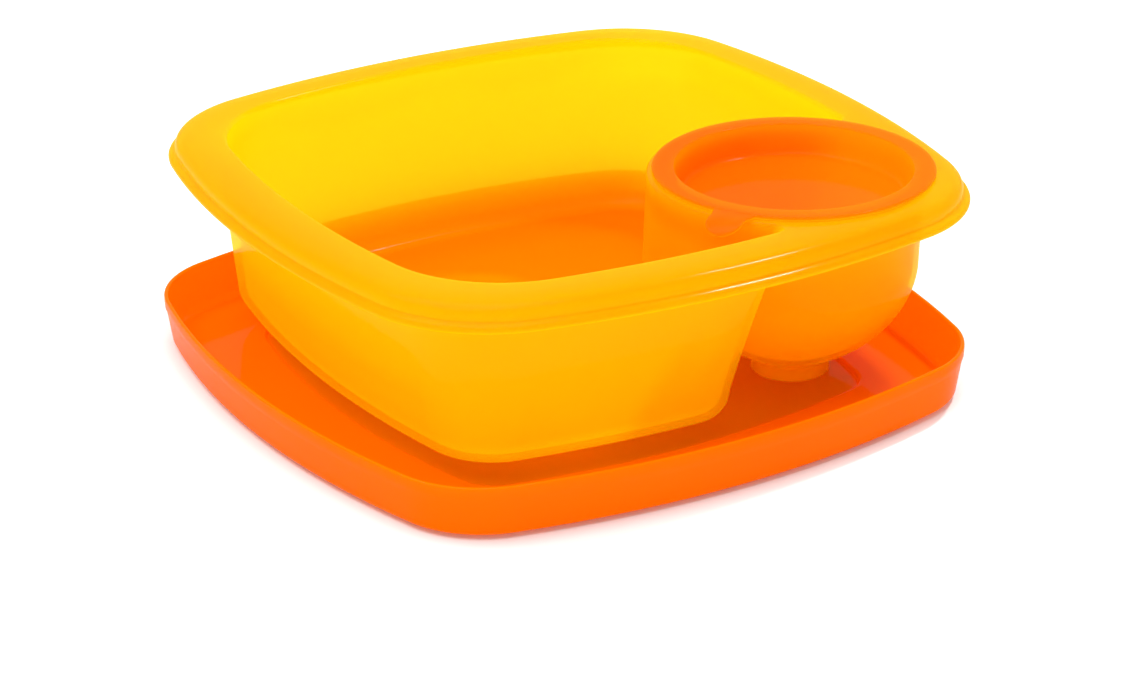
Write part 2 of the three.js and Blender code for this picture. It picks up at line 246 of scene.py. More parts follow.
def notched_outline(square, cup, notch_radius, fillet_radius):
    """A bulged square with a round notch about the cup, and a fillet at each end of it."""
    side_radius, side_centre, _, _, join = square
    near = touching_circle(
        Vector((-side_centre, 0)),
        side_radius - fillet_radius,
        cup,
        notch_radius + fillet_radius,
    )
    far = Vector((-near.y, -near.x))
    side_end = math.atan2(near.y, near.x + side_centre)
    notch_end = math.atan2(near.y - cup.y, near.x - cup.x)
    mirror = -math.pi / 2
    points = side(square, 0, side_end, join, SIDE_STEPS // 2)
    for quarter in (1, 2):
        points += corner(square, quarter - 1) + side(square, quarter)
    points += corner(square, 2) + side(square, 3, -join, -side_end, SIDE_STEPS // 2)
    far_end = mirror - notch_end + math.pi
    points += arc(far, fillet_radius, mirror - side_end, far_end, FILLET_STEPS)
    points += arc(cup, notch_radius, far_end + math.pi, notch_end, NOTCH_STEPS)
    points += arc(near, fillet_radius, notch_end - math.pi, side_end, FILLET_STEPS)
    return points


# --------------------------------------------------------------- the sections


def round_stretch(centre, radius, start, end, steps):
    """Section points along an arc, both ends included, with angles in degrees."""
    x, y = centre
    angles = [math.radians(start + (end - start) * i / steps) for i in range(steps + 1)]
    return [(x + radius * math.cos(a), y + radius * math.sin(a)) for a in angles]


def smooth_stretch(start, start_handle, end_handle, end, steps):
    """Section points along a Bezier curve, both ends included."""
    knots = [Vector((*point, 0.0)) for point in (start, start_handle, end_handle, end)]
    return [(point.x, point.y) for point in interpolate_bezier(*knots, steps + 1)]


def ring(outline, height, place):
    """An outline at a height, put in its place."""
    return [place @ Vector((point.x, point.y, height)) for point in outline]


# ---------------------------------------------------------- growing the pieces


def deselect_all():
    """Leaves nothing selected, so that an operator only acts on its own piece."""
    if bpy.context.object and bpy.context.object.mode != "OBJECT":
        bpy.ops.object.mode_set(mode="OBJECT")
    bpy.ops.object.select_all(action="DESELECT")


def make_active(piece):
    """Selects one piece alone."""
    deselect_all()
    piece.select_set(True)
    bpy.context.view_layer.objects.active = piece


def grow(name, rings):
    """Starts from a circle on the first ring and extrudes it onto each of the others."""
    deselect_all()
    bpy.ops.mesh.primitive_circle_add(vertices=len(rings[0]), radius=1.0)
    piece = bpy.context.object
    piece.name = name
    for vertex, point in zip(piece.data.vertices, rings[0]):
        vertex.co = point
    bpy.ops.object.mode_set(mode="EDIT")
    bpy.ops.mesh.select_mode(type="EDGE")
    bpy.ops.mesh.select_all(action="SELECT")
    for before, after in zip(rings, rings[1:]):
        bpy.ops.mesh.extrude_edges_move(TRANSFORM_OT_translate={"value": (0, 0, 0)})
        places = kdtree.KDTree(len(before))
        for index, point in enumerate(before):
            places.insert(point, index)
        places.balance()
        shape = bmesh.from_edit_mesh(piece.data)
        for vertex in [v for v in shape.verts if v.select]:
            vertex.co = after[places.find(vertex.co)[1]]
        bmesh.update_edit_mesh(piece.data)
    bpy.ops.object.mode_set(mode="OBJECT")
    return piece


def join(pieces):
    """Joins pieces into the first one."""
    deselect_all()
    for piece in pieces:
        piece.select_set(True)
    bpy.context.view_layer.objects.active = pieces[0]
    bpy.ops.object.join()
    return pieces[0]


def fill_levels(piece, heights):
    """Fills the flat area between the open edges at each height, then turns the faces out."""
    make_active(piece)
    bpy.ops.object.mode_set(mode="EDIT")
    bpy.ops.mesh.select_mode(type="EDGE")
    for height in heights:
        bpy.ops.mesh.select_all(action="DESELECT")
        shape = bmesh.from_edit_mesh(piece.data)
        for edge in shape.edges:
            rise = max(abs(vertex.co.z - height) for vertex in edge.verts)
            edge.select_set(rise < LEVEL_TOLERANCE and edge.is_boundary)
        bmesh.update_edit_mesh(piece.data)
        bpy.ops.mesh.fill(use_beauty=True)
    bpy.ops.mesh.select_all(action="SELECT")
    bpy.ops.mesh.normals_make_consistent(inside=False)
    bpy.ops.object.mode_set(mode="OBJECT")
    must_be_closed(piece)


def must_be_closed(piece):
    """Stops the work if a piece has an open or a crowded edge."""
    shape = bmesh.new()
    shape.from_mesh(piece.data)
    faulty = sum(not edge.is_manifold for edge in shape.edges)
    shape.free()
    if faulty:
        raise RuntimeError(f"{piece.name} has {faulty} faulty edges")


def finish_piece(piece, material, body, node):
    """Smooths a piece, gives it its material and ties it to its body."""
    make_active(piece)
    bpy.ops.object.shade_smooth_by_angle(angle=SHARP_ANGLE)
    piece.data.materials.clear()
    piece.data.materials.append(material)
    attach(piece, body)
    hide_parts(node)


# ------------------------------------------------------------------- the tray


LEAST_TRAY_CORNER = 12 * MM


def tray_outline(sizes, half):
    """Outline of the tray: every outline is parallel to the rim."""
    inset = sizes.rim_half - half
    corner_radius = max(sizes.corner_radius - inset, LEAST_TRAY_CORNER)
    return square_outline(bulged_square(half, sizes.side_radius - inset, corner_radius))


def tray_section(sizes):
    """Section of the tray, from the panel's top over the rim to the panel's underside."""
    rim = TRAY_HIGH.z
    outer, inner = sizes.rim_half, sizes.rim_half - sizes.wall
    foot_inner = sizes.foot_half - sizes.wall
    cove = 2.4 * MM
    lip, foot = 0.65 * MM, 1.8 * MM  # radii of the rim's edge and of the wall's foot
    low = sizes.gutter_underside
    step = sizes.panel_half
    return [
        (step - 3.0 * MM, sizes.panel_top),
        (step - 1.0 * MM, sizes.panel_top),
        *smooth_stretch(
            (step, sizes.panel_top),
            (step + 0.6 * MM, sizes.panel_top),
            (step + 0.2 * MM, sizes.gutter_top),
            (step + 1.0 * MM, sizes.gutter_top),
            5,
        ),
        (step + 2.0 * MM, sizes.gutter_top),
        (foot_inner - cove - 1.0 * MM, sizes.gutter_top),
        *round_stretch((foot_inner - cove, sizes.gutter_top + cove), cove, -90, -4, 6),
        (inner - 0.5 * MM, rim - 5.0 * MM),
        (inner - 0.1 * MM, rim - 2.0 * MM),
        (inner, rim - 0.9 * MM),
        *round_stretch((inner + lip, rim - lip), lip, 180, 0, 8),
        (outer, rim - 2.2 * MM),
        (outer - 0.1 * MM, rim - 3.4 * MM),
        (outer - 0.4 * MM, rim - 4.1 * MM),
        (outer - 0.6 * MM, rim - 5.0 * MM),
        *round_stretch((sizes.foot_half - foot, low + foot), foot, 0, -90, 6),
        (sizes.foot_half - 3.2 * MM, low),
        (step + 2.0 * MM, low),
        (step + 0.4 * MM, low),
        (step - 1.0 * MM, 0.0),
        (step - 3.0 * MM, 0.0),
    ]


def tray_piece(sizes):
    """The whole tray, closed across its panel on both faces."""
    place = Matrix.Translation(((TRAY_LOW + TRAY_HIGH) / 2).to_2d().to_3d())
    section = tray_section(sizes)
    rings = [ring(tray_outline(sizes, half), height, place) for half, height in section]
    tray = grow("tray_cover_moulding", rings)
    fill_levels(tray, [section[0][1], section[-1][1]])
    return tray


# ------------------------------------------------------------------- the bowl


def bowl_place(sizes):
    """The matrix that puts the bowl's own frame on the tray."""
    middle = (BOWL_LOW + BOWL_HIGH) / 2
    shift = Matrix.Translation((middle.x, middle.y, BOWL_LOW.z))
    return shift @ Matrix.Rotation(sizes.turn, 4, "Z")


def cup_axis(sizes):
    """Where the dip cup's axis crosses the floor, in the bowl's own frame."""
    return Vector((sizes.cup_offset, -sizes.cup_offset))


# The rim's radii at the lip, and how much each changes for every millimetre further in.
RIM_SIDE_RADIUS, RIM_SIDE_CHANGE = 300 * MM, 0.6
RIM_CORNER_RADIUS, RIM_CORNER_CHANGE = 42 * MM, -0.42


def rim_outline(sizes, half):
    """Outline of the rim at a half width."""
    inset = sizes.lip_half - half
    side_radius = RIM_SIDE_RADIUS + RIM_SIDE_CHANGE * inset
    corner_radius = RIM_CORNER_RADIUS + RIM_CORNER_CHANGE * inset
    return square_outline(bulged_square(half, side_radius, corner_radius))


# The wall's outline changes evenly from the first of these, just under the deck's top, to the
# second, at the wall's foot. In millimetres: half width, side radius, corner radius, notch
# radius, fillet radius.
OUTER_WALL = ((89.2, 310, 34, 40.4, 6), (83.3, 330, 24, 42.0, 13))
INNER_WALL = ((86.2, 315, 37, 42.6, 3), (81.1, 328, 22.5, 44.2, 10.8))
WALL_TOP_DEPTH = 1.0 * MM
WALL_SHARES = (0.25, 0.5, 0.75)


def wall_outline(sizes, wall, height, inset=0.0):
    """Outline of one face of the compartment's wall at a height, moved in by an inset."""
    top = sizes.deck_top - WALL_TOP_DEPTH
    share = max(0.0, min(1.0, (top - height) / (top - sizes.wall_foot)))
    half, side_radius, corner_radius, notch, fillet = (
        (a + (b - a) * share) * MM for a, b in zip(*wall)
    )
    square = bulged_square(half - inset, side_radius - inset, corner_radius - inset)
    return notched_outline(square, cup_axis(sizes), notch + inset, fillet - inset)


def rim_section(sizes):
    """Section of the rim, from the deck's top over the bead and the lip to the underside."""
    bead, lip = sizes.bead_half, sizes.lip_half
    top, low = sizes.deck_top, sizes.deck_underside
    edge = sizes.lip_height
    return [
        (bead - 10.0 * MM, top),
        (bead - 9.0 * MM, top),
        *smooth_stretch(
            (bead - 8.0 * MM, top),
            (bead - 3.0 * MM, top - 0.4 * MM),
            (bead - 0.1 * MM, top - 0.6 * MM),
            (bead, top - 4.2 * MM),
            SHOULDER_STEPS,
        ),
        *smooth_stretch(
            (bead - 0.15 * MM, edge + 2.0 * MM),
            (bead - 0.2 * MM, edge + 1.2 * MM),
            (lip - 0.2 * MM, edge + 1.4 * MM),
            (lip, edge + 0.1 * MM),
            6,
        ),
        *round_stretch((lip - 1.2 * MM, edge - 0.1 * MM), 1.2 * MM, 0, -90, 5),
        (bead - 1.0 * MM, edge - 0.9 * MM),
        *round_stretch((bead - 1.2 * MM, edge + 0.3 * MM), 1.0 * MM, -90, -180, 3),
        (bead - 2.3 * MM, low - 1.4 * MM),
        *round_stretch((bead - 3.4 * MM, low - 1.1 * MM), 1.1 * MM, 0, 90, 4),
        (bead - 4.2 * MM, low),
    ]


def compartment_rings(sizes, place):
    """The inside of the compartment, from the deck's top to the edge of its floor."""
    top = sizes.deck_top
    edge = 1.3 * MM
    floor = sizes.floor_underside + sizes.floor
    rounding = sizes.wall_foot - floor

    def wall_ring(level, inset, height):
        return ring(wall_outline(sizes, INNER_WALL, level, inset), height, place)

    rings = [wall_ring(top, -edge - 0.6 * MM, top)]
    for out, height in round_stretch((edge, top - edge), edge, 90, 180, 6):
        rings.append(wall_ring(top, -out, height))
    for share in WALL_SHARES:
        height = top - edge + (sizes.wall_foot - top + edge) * share
        rings.append(wall_ring(height, 0.0, height))
    for out, height in round_stretch((-rounding, sizes.wall_foot), rounding, 0, -90, 9):
        rings.append(wall_ring(height, -out, height))
    rings.append(wall_ring(floor, rounding + 1.0 * MM, floor))
    return rings


def outer_wall_rings(sizes, place):
    """The outside of the compartment, from the deck's underside to the edge of its floor."""
    low = sizes.deck_underside
    cove = 1.2 * MM
    base = sizes.floor_underside
    rounding = sizes.wall_foot - base

    def wall_ring(inset, height):
        return ring(wall_outline(sizes, OUTER_WALL, height, inset), height, place)

    rings = [wall_ring(-cove - 0.3 * MM, low)]
    for out, height in round_stretch((cove, low - cove), cove, 90, 180, 3):
        rings.append(wall_ring(-out, height))
    for share in WALL_SHARES:
        height = low - cove + (sizes.wall_foot - low + cove) * share
        rings.append(wall_ring(0.0, height))
    for out, height in round_stretch((-rounding, sizes.wall_foot), rounding, 0, -90, 10):
        rings.append(wall_ring(-out, height))
    rings.append(wall_ring(rounding + 1.0 * MM, base))
    return rings


CUP_ROUNDNESS = 1.84  # 2 makes the cup's belly an ellipse, less makes it more pointed


def cup_belly(sizes, inset, start_radius, steps):
    """The cup's round belly, moved in by an inset, from near its foot up to its widest point."""
    power = 2 / CUP_ROUNDNESS
    top = sizes.cup_widest_height
    widest, bottom = sizes.cup_widest - inset, sizes.cup_bottom + inset
    start = math.asin((start_radius / widest) ** (1 / power))
    points = []
    for i in range(steps + 1):
        turn = start + (math.pi / 2 - start) * i / steps
        radius = widest * math.sin(turn) ** power
        drop = (top - bottom) * max(math.cos(turn), 0.0) ** power
        points.append((radius, top - drop))
    return points


def cup_outer_section(sizes):
    """Outside of the cup, from the deck's underside down to the recess under its foot."""
    foot = sizes.cup_foot_radius
    low = sizes.deck_underside
    mouth = sizes.cup_mouth
    return [
        (mouth + 1.0 * MM, low),
        (mouth + 0.7 * MM, low),
        (mouth + 0.2 * MM, low - 0.2 * MM),
        (mouth - 0.05 * MM, low - 0.8 * MM),
        *reversed(cup_belly(sizes, 0.0, foot + 1.0 * MM, 22)),
        *smooth_stretch(
            (foot + 0.6 * MM, 5.1 * MM),
            (foot + 0.1 * MM, 4.7 * MM),
            (foot, 4.3 * MM),
            (foot, 3.6 * MM),
            3,
        ),
        *round_stretch((foot - 0.5 * MM, 0.5 * MM), 0.5 * MM, 0, -90, 3),
        (foot - 1.6 * MM, 0.0),
        (foot - 2.0 * MM, 1.2 * MM),
        (foot - 3.0 * MM, 1.2 * MM),
    ]


def cup_inner_section(sizes):
    """Inside of the cup, from the deck's top down to its bottom."""
    top = sizes.deck_top
    mouth = sizes.cup_mouth - sizes.cup_wall
    return [
        (mouth + 1.0 * MM, top),
        (mouth + 0.7 * MM, top),
        (mouth + 0.2 * MM, top - 0.2 * MM),
        (mouth, top - 0.7 * MM),
        *reversed(cup_belly(sizes, sizes.cup_wall, 1.5 * MM, 24)),
    ]


def foot_ring_section(sizes):
    """The low round foot under the compartment, down and up again."""
    outer, base = sizes.foot_ring_radius, sizes.floor_underside
    inner = outer - sizes.foot_ring_width
    edge = 0.4 * MM
    return [
        (outer + 0.2 * MM, base),
        (outer, base - edge),
        (outer, edge),
        (outer - edge, 0.0),
        (inner + edge, 0.0),
        (inner, edge),
        (inner, base - edge),
        (inner - 0.2 * MM, base),
    ]


def round_rings(section, centre, place):
    """Rings of a round section about an axis."""
    return [ring(circle(centre, radius), height, place) for radius, height in section]


def bowl_piece(sizes):
    """The whole bowl as one closed moulding."""
    place = bowl_place(sizes)
    cup = cup_axis(sizes)
    foot_centre = Vector((-sizes.foot_ring_offset, sizes.foot_ring_offset))
    inner_cup = cup_inner_section(sizes)
    outer_cup = cup_outer_section(sizes)
    rim = rim_section(sizes)
    rim_rings = [ring(rim_outline(sizes, half), height, place) for half, height in rim]
    parts = [
        grow("bowl_moulding", rim_rings),
        grow("bowl_inside", compartment_rings(sizes, place)),
        grow("bowl_outside", outer_wall_rings(sizes, place)),
        grow("cup_inside", round_rings(inner_cup, cup, place)),
        grow("cup_outside", round_rings(outer_cup, cup, place)),
        grow("bowl_foot", round_rings(foot_ring_section(sizes), foot_centre, place)),
    ]
    bowl = join(parts)
    floor = sizes.floor_underside + sizes.floor
    levels = [
        sizes.deck_top,
        sizes.deck_underside,
        sizes.floor_underside,
        floor,
        inner_cup[-1][1],
        outer_cup[-1][1],
    ]
    fill_levels(bowl, [BOWL_LOW.z + level for level in levels])
    return bowl


# ------------------------------------------------------------------- the seal


SEAL_GAP = 0.3 * MM  # between the seal's ring and the deck


def seal_section(sizes, underside):
    """Section of the seal, from the recess's floor over the ring to the underside."""
    top = sizes.top
    recess, outer = sizes.recess_radius, sizes.ring_radius
    floor = top - sizes.recess_depth
    bottom = floor - sizes.skin
    plug = recess + sizes.skin
    half = (top - underside) / 2
    return [
        (recess - 6.0 * MM, floor),
        (recess - 4.6 * MM, floor),
        *smooth_stretch(
            (recess - 3.8 * MM, floor),
            (recess - 2.2 * MM, floor),
            (recess - 1.5 * MM, floor + 0.6 * MM),
            (recess - 1.3 * MM, floor + 2.4 * MM),
            6,
        ),
        (recess - 0.3 * MM, top - 1.2 * MM),
        *round_stretch((recess + 0.55 * MM, top - 0.6 * MM), 0.6 * MM, 180, 90, 5),
        (recess + 1.2 * MM, top),
        (outer - 1.4 * MM, top),
        *round_stretch((outer - half, top - half), half, 90, -90, 8),
        (outer - 1.4 * MM, underside),
        (plug + 0.6 * MM, underside),
        (plug + 0.1 * MM, underside - 0.2 * MM),
        (plug - 0.1 * MM, underside - 0.8 * MM),
        (plug - 1.2 * MM, bottom + 2.4 * MM),
        *smooth_stretch(
            (plug - 1.4 * MM, bottom + 1.8 * MM),
            (plug - 1.6 * MM, bottom + 0.6 * MM),
            (plug - 2.4 * MM, bottom),
            (plug - 4.0 * MM, bottom),
            5,
        ),
        (plug - 5.0 * MM, bottom),
    ]


TAB_CLEARANCE = 0.05 * MM  # from the tab's faces to the ring's
TAB_TAPER_START = -1.5 * MM  # from the ring's edge
TAB_TAPER_LENGTH = 5.0 * MM
TAB_STRAIGHT = 2.4 * MM  # how far past the ring the tab stays level
TAB_SWELL = 0.55  # how much thicker the tip is than the root
TAB_LEAST_DEPTH = 0.35  # share of its thickness that the very tip keeps
TAB_SQUARENESS = (0.4, 0.7)  # powers across and up: 1 is an ellipse, less is squarer


def tab_ring(station, half, middle, depth, place):
    """One cross section of the pull tab: a flat oval with squarish ends."""
    wide, tall = TAB_SQUARENESS
    points = []
    for i in range(TAB_SECTION_STEPS):
        turn = math.tau * i / TAB_SECTION_STEPS
        across, up = math.cos(turn), math.sin(turn)
        across = math.copysign(abs(across) ** wide, across)
        up = math.copysign(abs(up) ** tall, up)
        points.append(place @ Vector((station, half * across, middle + depth * up)))
    return points


def tab_rings(sizes, underside, place):
    """Cross sections of the pull tab, from inside the ring out to its round tip."""
    root, tip = sizes.tab_root_width / 2, sizes.tab_tip_width / 2
    start = sizes.recess_radius + 2.0 * MM
    reach = sizes.tab_reach
    taper_start = sizes.ring_radius + TAB_TAPER_START
    straight = sizes.ring_radius + TAB_STRAIGHT
    thickness = sizes.top - underside - 2 * TAB_CLEARANCE
    stations = [start + (reach - tip - start) * i / TAB_STEPS for i in range(TAB_STEPS + 1)]
    stations += [reach - tip + tip * math.sin(math.radians(a)) for a in TAB_TIP_ANGLES]
    rings = []
    for station in stations:
        along = min(1.0, max(0.0, (station - taper_start) / TAB_TAPER_LENGTH))
        past = max(0.0, (station - reach + tip) / tip)
        bend = max(0.0, (station - straight) / (reach - straight)) ** 2
        half = root + (tip - root) * (3 * along**2 - 2 * along**3)
        half = half * math.sqrt(max(1 - past**2, 0.0))
        fullness = max(math.sqrt(max(1 - past**6, 0.0)), TAB_LEAST_DEPTH)
        depth = thickness * (1 + TAB_SWELL * bend) / 2 * fullness
        middle = underside + TAB_CLEARANCE + thickness / 2 - sizes.tab_droop * bend
        rings.append(tab_ring(station, half, middle, depth, place))
    return rings


def cap_ends(piece):
    """Closes a tube at both ends and turns its faces out."""
    make_active(piece)
    bpy.ops.object.mode_set(mode="EDIT")
    bpy.ops.mesh.select_mode(type="EDGE")
    bpy.ops.mesh.select_all(action="DESELECT")
    bpy.ops.mesh.select_non_manifold(extend=False, use_boundary=True)
    bpy.ops.mesh.fill_holes(sides=0)
    bpy.ops.mesh.select_all(action="SELECT")
    bpy.ops.mesh.normals_make_consistent(inside=False)
    bpy.ops.object.mode_set(mode="OBJECT")


def seal_piece(sizes, bowl_sizes):
    """The whole seal: ring, recess and pull tab in one."""
    place = bowl_place(bowl_sizes)
    axis = cup_axis(bowl_sizes)
    underside = bowl_sizes.deck_top + SEAL_GAP
    section = seal_section(sizes, underside)
    seal = grow("cup_seal_moulding", round_rings(section, axis, place))
    fill_levels(seal, [BOWL_LOW.z + section[0][1], BOWL_LOW.z + section[-1][1]])
    tab_turn = Matrix.Rotation(sizes.tab_direction, 4, "Z")
    tab_place = place @ Matrix.Translation(axis.to_3d()) @ tab_turn
    tab = grow("seal_tab", tab_rings(sizes, underside, tab_place))
    cap_ends(tab)
    make_active(seal)
    union = seal.modifiers.new("tab", "BOOLEAN")
    union.operation = "UNION"
    union.solver = "EXACT"
    union.object = tab
    bpy.ops.object.modifier_apply(modifier=union.name)
    bpy.data.objects.remove(tab, do_unlink=True)
    return seal


# -------------------------------------------------------------- the materials

PLASTIC_IOR = 1.49
GRAIN_DEPTH = 0.05 * MM
CLOUD_RANGE = (0.35, 0.7)  # values of the cloud with the light colour and with the deep one
# The bowl's colour deepens with height: partly the plastic's deeper tone at the rim, partly
# painted shade on the top faces against the strong top light.
TOP_SHADE_DEEPENING = 0.3  # how far the height moves that value, down and up
TOP_SHADE_HEIGHTS = (50 * MM, 59 * MM)
EDGE_ON_HEIGHTS = (25 * MM, 55 * MM)
FACING_RANGE = (0.15, 0.65)  # from seen face on to seen edge on


def new_group(name, inputs, outputs):
    """A shader node group with float inputs and outputs, and its two end nodes."""
    group = bpy.data.node_groups.new(name, "ShaderNodeTree")
    for label, default in inputs:
        socket = group.interface.new_socket(
            name=label, in_out="INPUT", socket_type="NodeSocketFloat"
        )
        socket.default_value = default
    for label in outputs:
        group.interface.new_socket(name=label, in_out="OUTPUT", socket_type="NodeSocketFloat")
    return group, group.nodes.new("NodeGroupInput"), group.nodes.new("NodeGroupOutput")


def noise(group, scale_socket, coordinates, detail):
    """A noise texture on given coordinates, scaled by a socket."""
    node = group.nodes.new("ShaderNodeTexNoise")
    node.inputs["Detail"].default_value = detail
    group.links.new(coordinates, node.inputs["Vector"])
    group.links.new(scale_socket, node.inputs["Scale"])
    return node.outputs["Fac"]


def moulded_surface():
    """Group: the faint clouds, the fine grain and the uneven gloss of an injection moulding."""
    name = "moulded_surface"
    if name in bpy.data.node_groups:
        return bpy.data.node_groups[name]
    inputs = [("Cloud Scale", 18.0), ("Grain Scale", 900.0), ("Haze", 0.12), ("Roughness", 0.25)]
    group, start, end = new_group(name, inputs, ["Cloud", "Roughness", "Height"])
    coordinates = group.nodes.new("ShaderNodeTexCoord").outputs["Object"]
    cloud = noise(group, start.outputs["Cloud Scale"], coordinates, detail=3.0)
    grain = noise(group, start.outputs["Grain Scale"], coordinates, detail=2.0)

    haze = group.nodes.new("ShaderNodeMath")
    haze.operation = "MULTIPLY_ADD"
    group.links.new(cloud, haze.inputs[0])
    group.links.new(start.outputs["Haze"], haze.inputs[1])
    group.links.new(start.outputs["Roughness"], haze.inputs[2])

    group.links.new(cloud, end.inputs["Cloud"])
    group.links.new(haze.outputs[0], end.inputs["Roughness"])
    group.links.new(grain, end.inputs["Height"])
    return group


def plastic(name, light, deep, roughness, haze, grain, gloss):
    """A moulded plastic: two close colours clouded together, with a fine grain."""
    material = bpy.data.materials.new(name)
    material.use_nodes = True
    nodes, links = material.node_tree.nodes, material.node_tree.links
    skin = nodes["Principled BSDF"]
    surface = nodes.new("ShaderNodeGroup")
    surface.node_tree = moulded_surface()
    surface.inputs["Haze"].default_value = haze
    surface.inputs["Roughness"].default_value = roughness

    ramp = nodes.new("ShaderNodeValToRGB")
    for stop, position, shade in zip(ramp.color_ramp.elements, CLOUD_RANGE, (light, deep)):
        stop.position = position
        stop.color = shade
    bump = nodes.new("ShaderNodeBump")
    bump.inputs["Strength"].default_value = grain
    bump.inputs["Distance"].default_value = GRAIN_DEPTH

    links.new(surface.outputs["Cloud"], ramp.inputs["Fac"])
    links.new(ramp.outputs["Color"], skin.inputs["Base Color"])
    links.new(surface.outputs["Roughness"], skin.inputs["Roughness"])
    links.new(surface.outputs["Height"], bump.inputs["Height"])
    links.new(bump.outputs["Normal"], skin.inputs["Normal"])
    skin.inputs["IOR"].default_value = PLASTIC_IOR
    skin.inputs["Specular IOR Level"].default_value = gloss
    return material


def add_glow(material, glow_colour, glow):
    """Lets part of the light glow through a plastic. Gives the socket of what it made."""
    nodes, links = material.node_tree.nodes, material.node_tree.links
    body = nodes.new("ShaderNodeBsdfTranslucent")
    body.inputs["Color"].default_value = glow_colour
    solid = nodes.new("ShaderNodeMixShader")
    solid.inputs["Fac"].default_value = glow
    links.new(nodes["Principled BSDF"].outputs["BSDF"], solid.inputs[1])
    links.new(body.outputs["BSDF"], solid.inputs[2])
    links.new(solid.outputs["Shader"], nodes["Material Output"].inputs["Surface"])
    return solid.outputs["Shader"]


def map_range(nodes, span, low, high):
    """A Map Range node that goes from low to high over a span."""
    node = nodes.new("ShaderNodeMapRange")
    node.inputs["From Min"].default_value = span[0]
    node.inputs["From Max"].default_value = span[1]
    node.inputs["To Min"].default_value = low
    node.inputs["To Max"].default_value = high
    return node


def by_height(material, heights, low, high):
    """A value that goes from low to high between two heights. Gives its socket."""
    nodes, links = material.node_tree.nodes, material.node_tree.links
    place = nodes.new("ShaderNodeTexCoord")
    split = nodes.new("ShaderNodeSeparateXYZ")
    links.new(place.outputs["Object"], split.inputs["Vector"])
    value = map_range(nodes, heights, low, high)
    links.new(split.outputs["Z"], value.inputs["Value"])
    return value.outputs["Result"]


def deepen_and_shade_upwards(material):
    """Turns a plastic from its light colour on the walls to its deep colour at the thick rim. The
    deep colour is partly the plastic's deeper tone there and partly painted shade that darkens
    the top faces against the strong light from above.
    """
    nodes, links = material.node_tree.nodes, material.node_tree.links
    ramp = nodes["Color Ramp"]
    cloud = ramp.inputs["Fac"].links[0].from_socket
    total = nodes.new("ShaderNodeMath")
    links.new(cloud, total.inputs[0])
    shade_lift = by_height(material, TOP_SHADE_HEIGHTS, -TOP_SHADE_DEEPENING, TOP_SHADE_DEEPENING)
    links.new(shade_lift, total.inputs[1])
    links.new(total.outputs["Value"], ramp.inputs["Fac"])


def add_clearness(material, solid_output, tint, face_on, low_edge_on, high_edge_on):
    """Lets part of the light straight through a plastic.

    Seen face on, the share is the same all over. Seen edge on, it changes from the low one on
    the walls to the high one at the rim, where the plastic is thick.
    """
    nodes, links = material.node_tree.nodes, material.node_tree.links
    lean = nodes.new("ShaderNodeLayerWeight")
    openness = map_range(nodes, FACING_RANGE, face_on, low_edge_on)
    links.new(lean.outputs["Facing"], openness.inputs["Value"])
    edge_on = by_height(material, EDGE_ON_HEIGHTS, low_edge_on, high_edge_on)
    links.new(edge_on, openness.inputs["To Max"])
    clear = nodes.new("ShaderNodeBsdfTransparent")
    clear.inputs["Color"].default_value = tint
    whole = nodes.new("ShaderNodeMixShader")
    links.new(openness.outputs["Result"], whole.inputs["Fac"])
    links.new(solid_output, whole.inputs[1])
    links.new(clear.outputs["BSDF"], whole.inputs[2])
    links.new(whole.outputs["Shader"], nodes["Material Output"].inputs["Surface"])


# -------------------------------------------------------------- the operators


class SERVER_OT_tray(bpy.types.Operator):
    """Model the upturned cover that serves as a tray"""

    bl_idname = "server.tray"
    bl_label = "Tray Cover"

    def execute(self, context):
        colours = context.scene.server_colours
        material = plastic(
            "orange_gloss",
            colours.orange,
            colours.orange_deep,
            roughness=0.06,
            haze=0.05,
            grain=0.05,
            gloss=0.05,
        )
        add_glow(material, colours.orange_glow, glow=0.5)
        tray = tray_piece(context.scene.server_tray)
        finish_piece(tray, material, "tray", "tray_cover")
        return {"FINISHED"}


class SERVER_OT_bowl(bpy.types.Operator):
    """Model the bowl with its compartment, dip cup and rim"""

    bl_idname = "server.bowl"
    bl_label = "Bowl"

    def execute(self, context):
        colours = context.scene.server_colours
        material = plastic(
            "yellow_translucent",
            colours.yellow,
            colours.yellow_deep_and_top_shade,
            roughness=0.05,
            haze=0.06,
            grain=0.1,
            gloss=0.09,
        )
        # Painted shade, in part: the top faces go to the deep colour to offset the strong light
        # from above.
        deepen_and_shade_upwards(material)
        solid_output = add_glow(material, colours.yellow_glow, glow=0.7)
        add_clearness(
            material,
            solid_output,
            colours.yellow_tint,
            face_on=0.33,
            low_edge_on=0.6,
            high_edge_on=0.12,
        )
        bowl = bowl_piece(context.scene.server_bowl)
        finish_piece(bowl, material, "bowl", "bowl")
        return {"FINISHED"}


class SERVER_OT_seal(bpy.types.Operator):
    """Model the dip cup's seal with its pull tab"""

    bl_idname = "server.seal"
    bl_label = "Cup Seal"

    def execute(self, context):
        colours = context.scene.server_colours
        material = plastic(
            "orange_seal",
            colours.seal,
            colours.seal_deep,
            roughness=0.05,
            haze=0.06,
            grain=0.05,
            gloss=0.12,
        )
        solid_output = add_glow(material, colours.seal_glow, glow=0.72)
        add_clearness(
            material,
            solid_output,
            colours.seal_tint,
            face_on=0.5,
            low_edge_on=0.4,
            high_edge_on=0.4,
        )
        seal = seal_piece(context.scene.server_seal, context.scene.server_bowl)
        finish_piece(seal, material, "seal", "cup_seal")
        return {"FINISHED"}


# ------------------------------------------------------------------ the stage

CAMERA_AZIMUTH = math.radians(-31.91)  # 0 is straight in front, looking along +Y
CAMERA_ELEVATION = math.radians(23.66)
CAMERA_ROLL = math.radians(-0.40)
CAMERA_DISTANCE = 1.0192
CAMERA_TARGET = Vector((-17.8, -33.9, 24.6)) * MM
CAMERA_LENS = 113.67
CAMERA_SENSOR = 36.0
CAMERA_REACH = 20.0

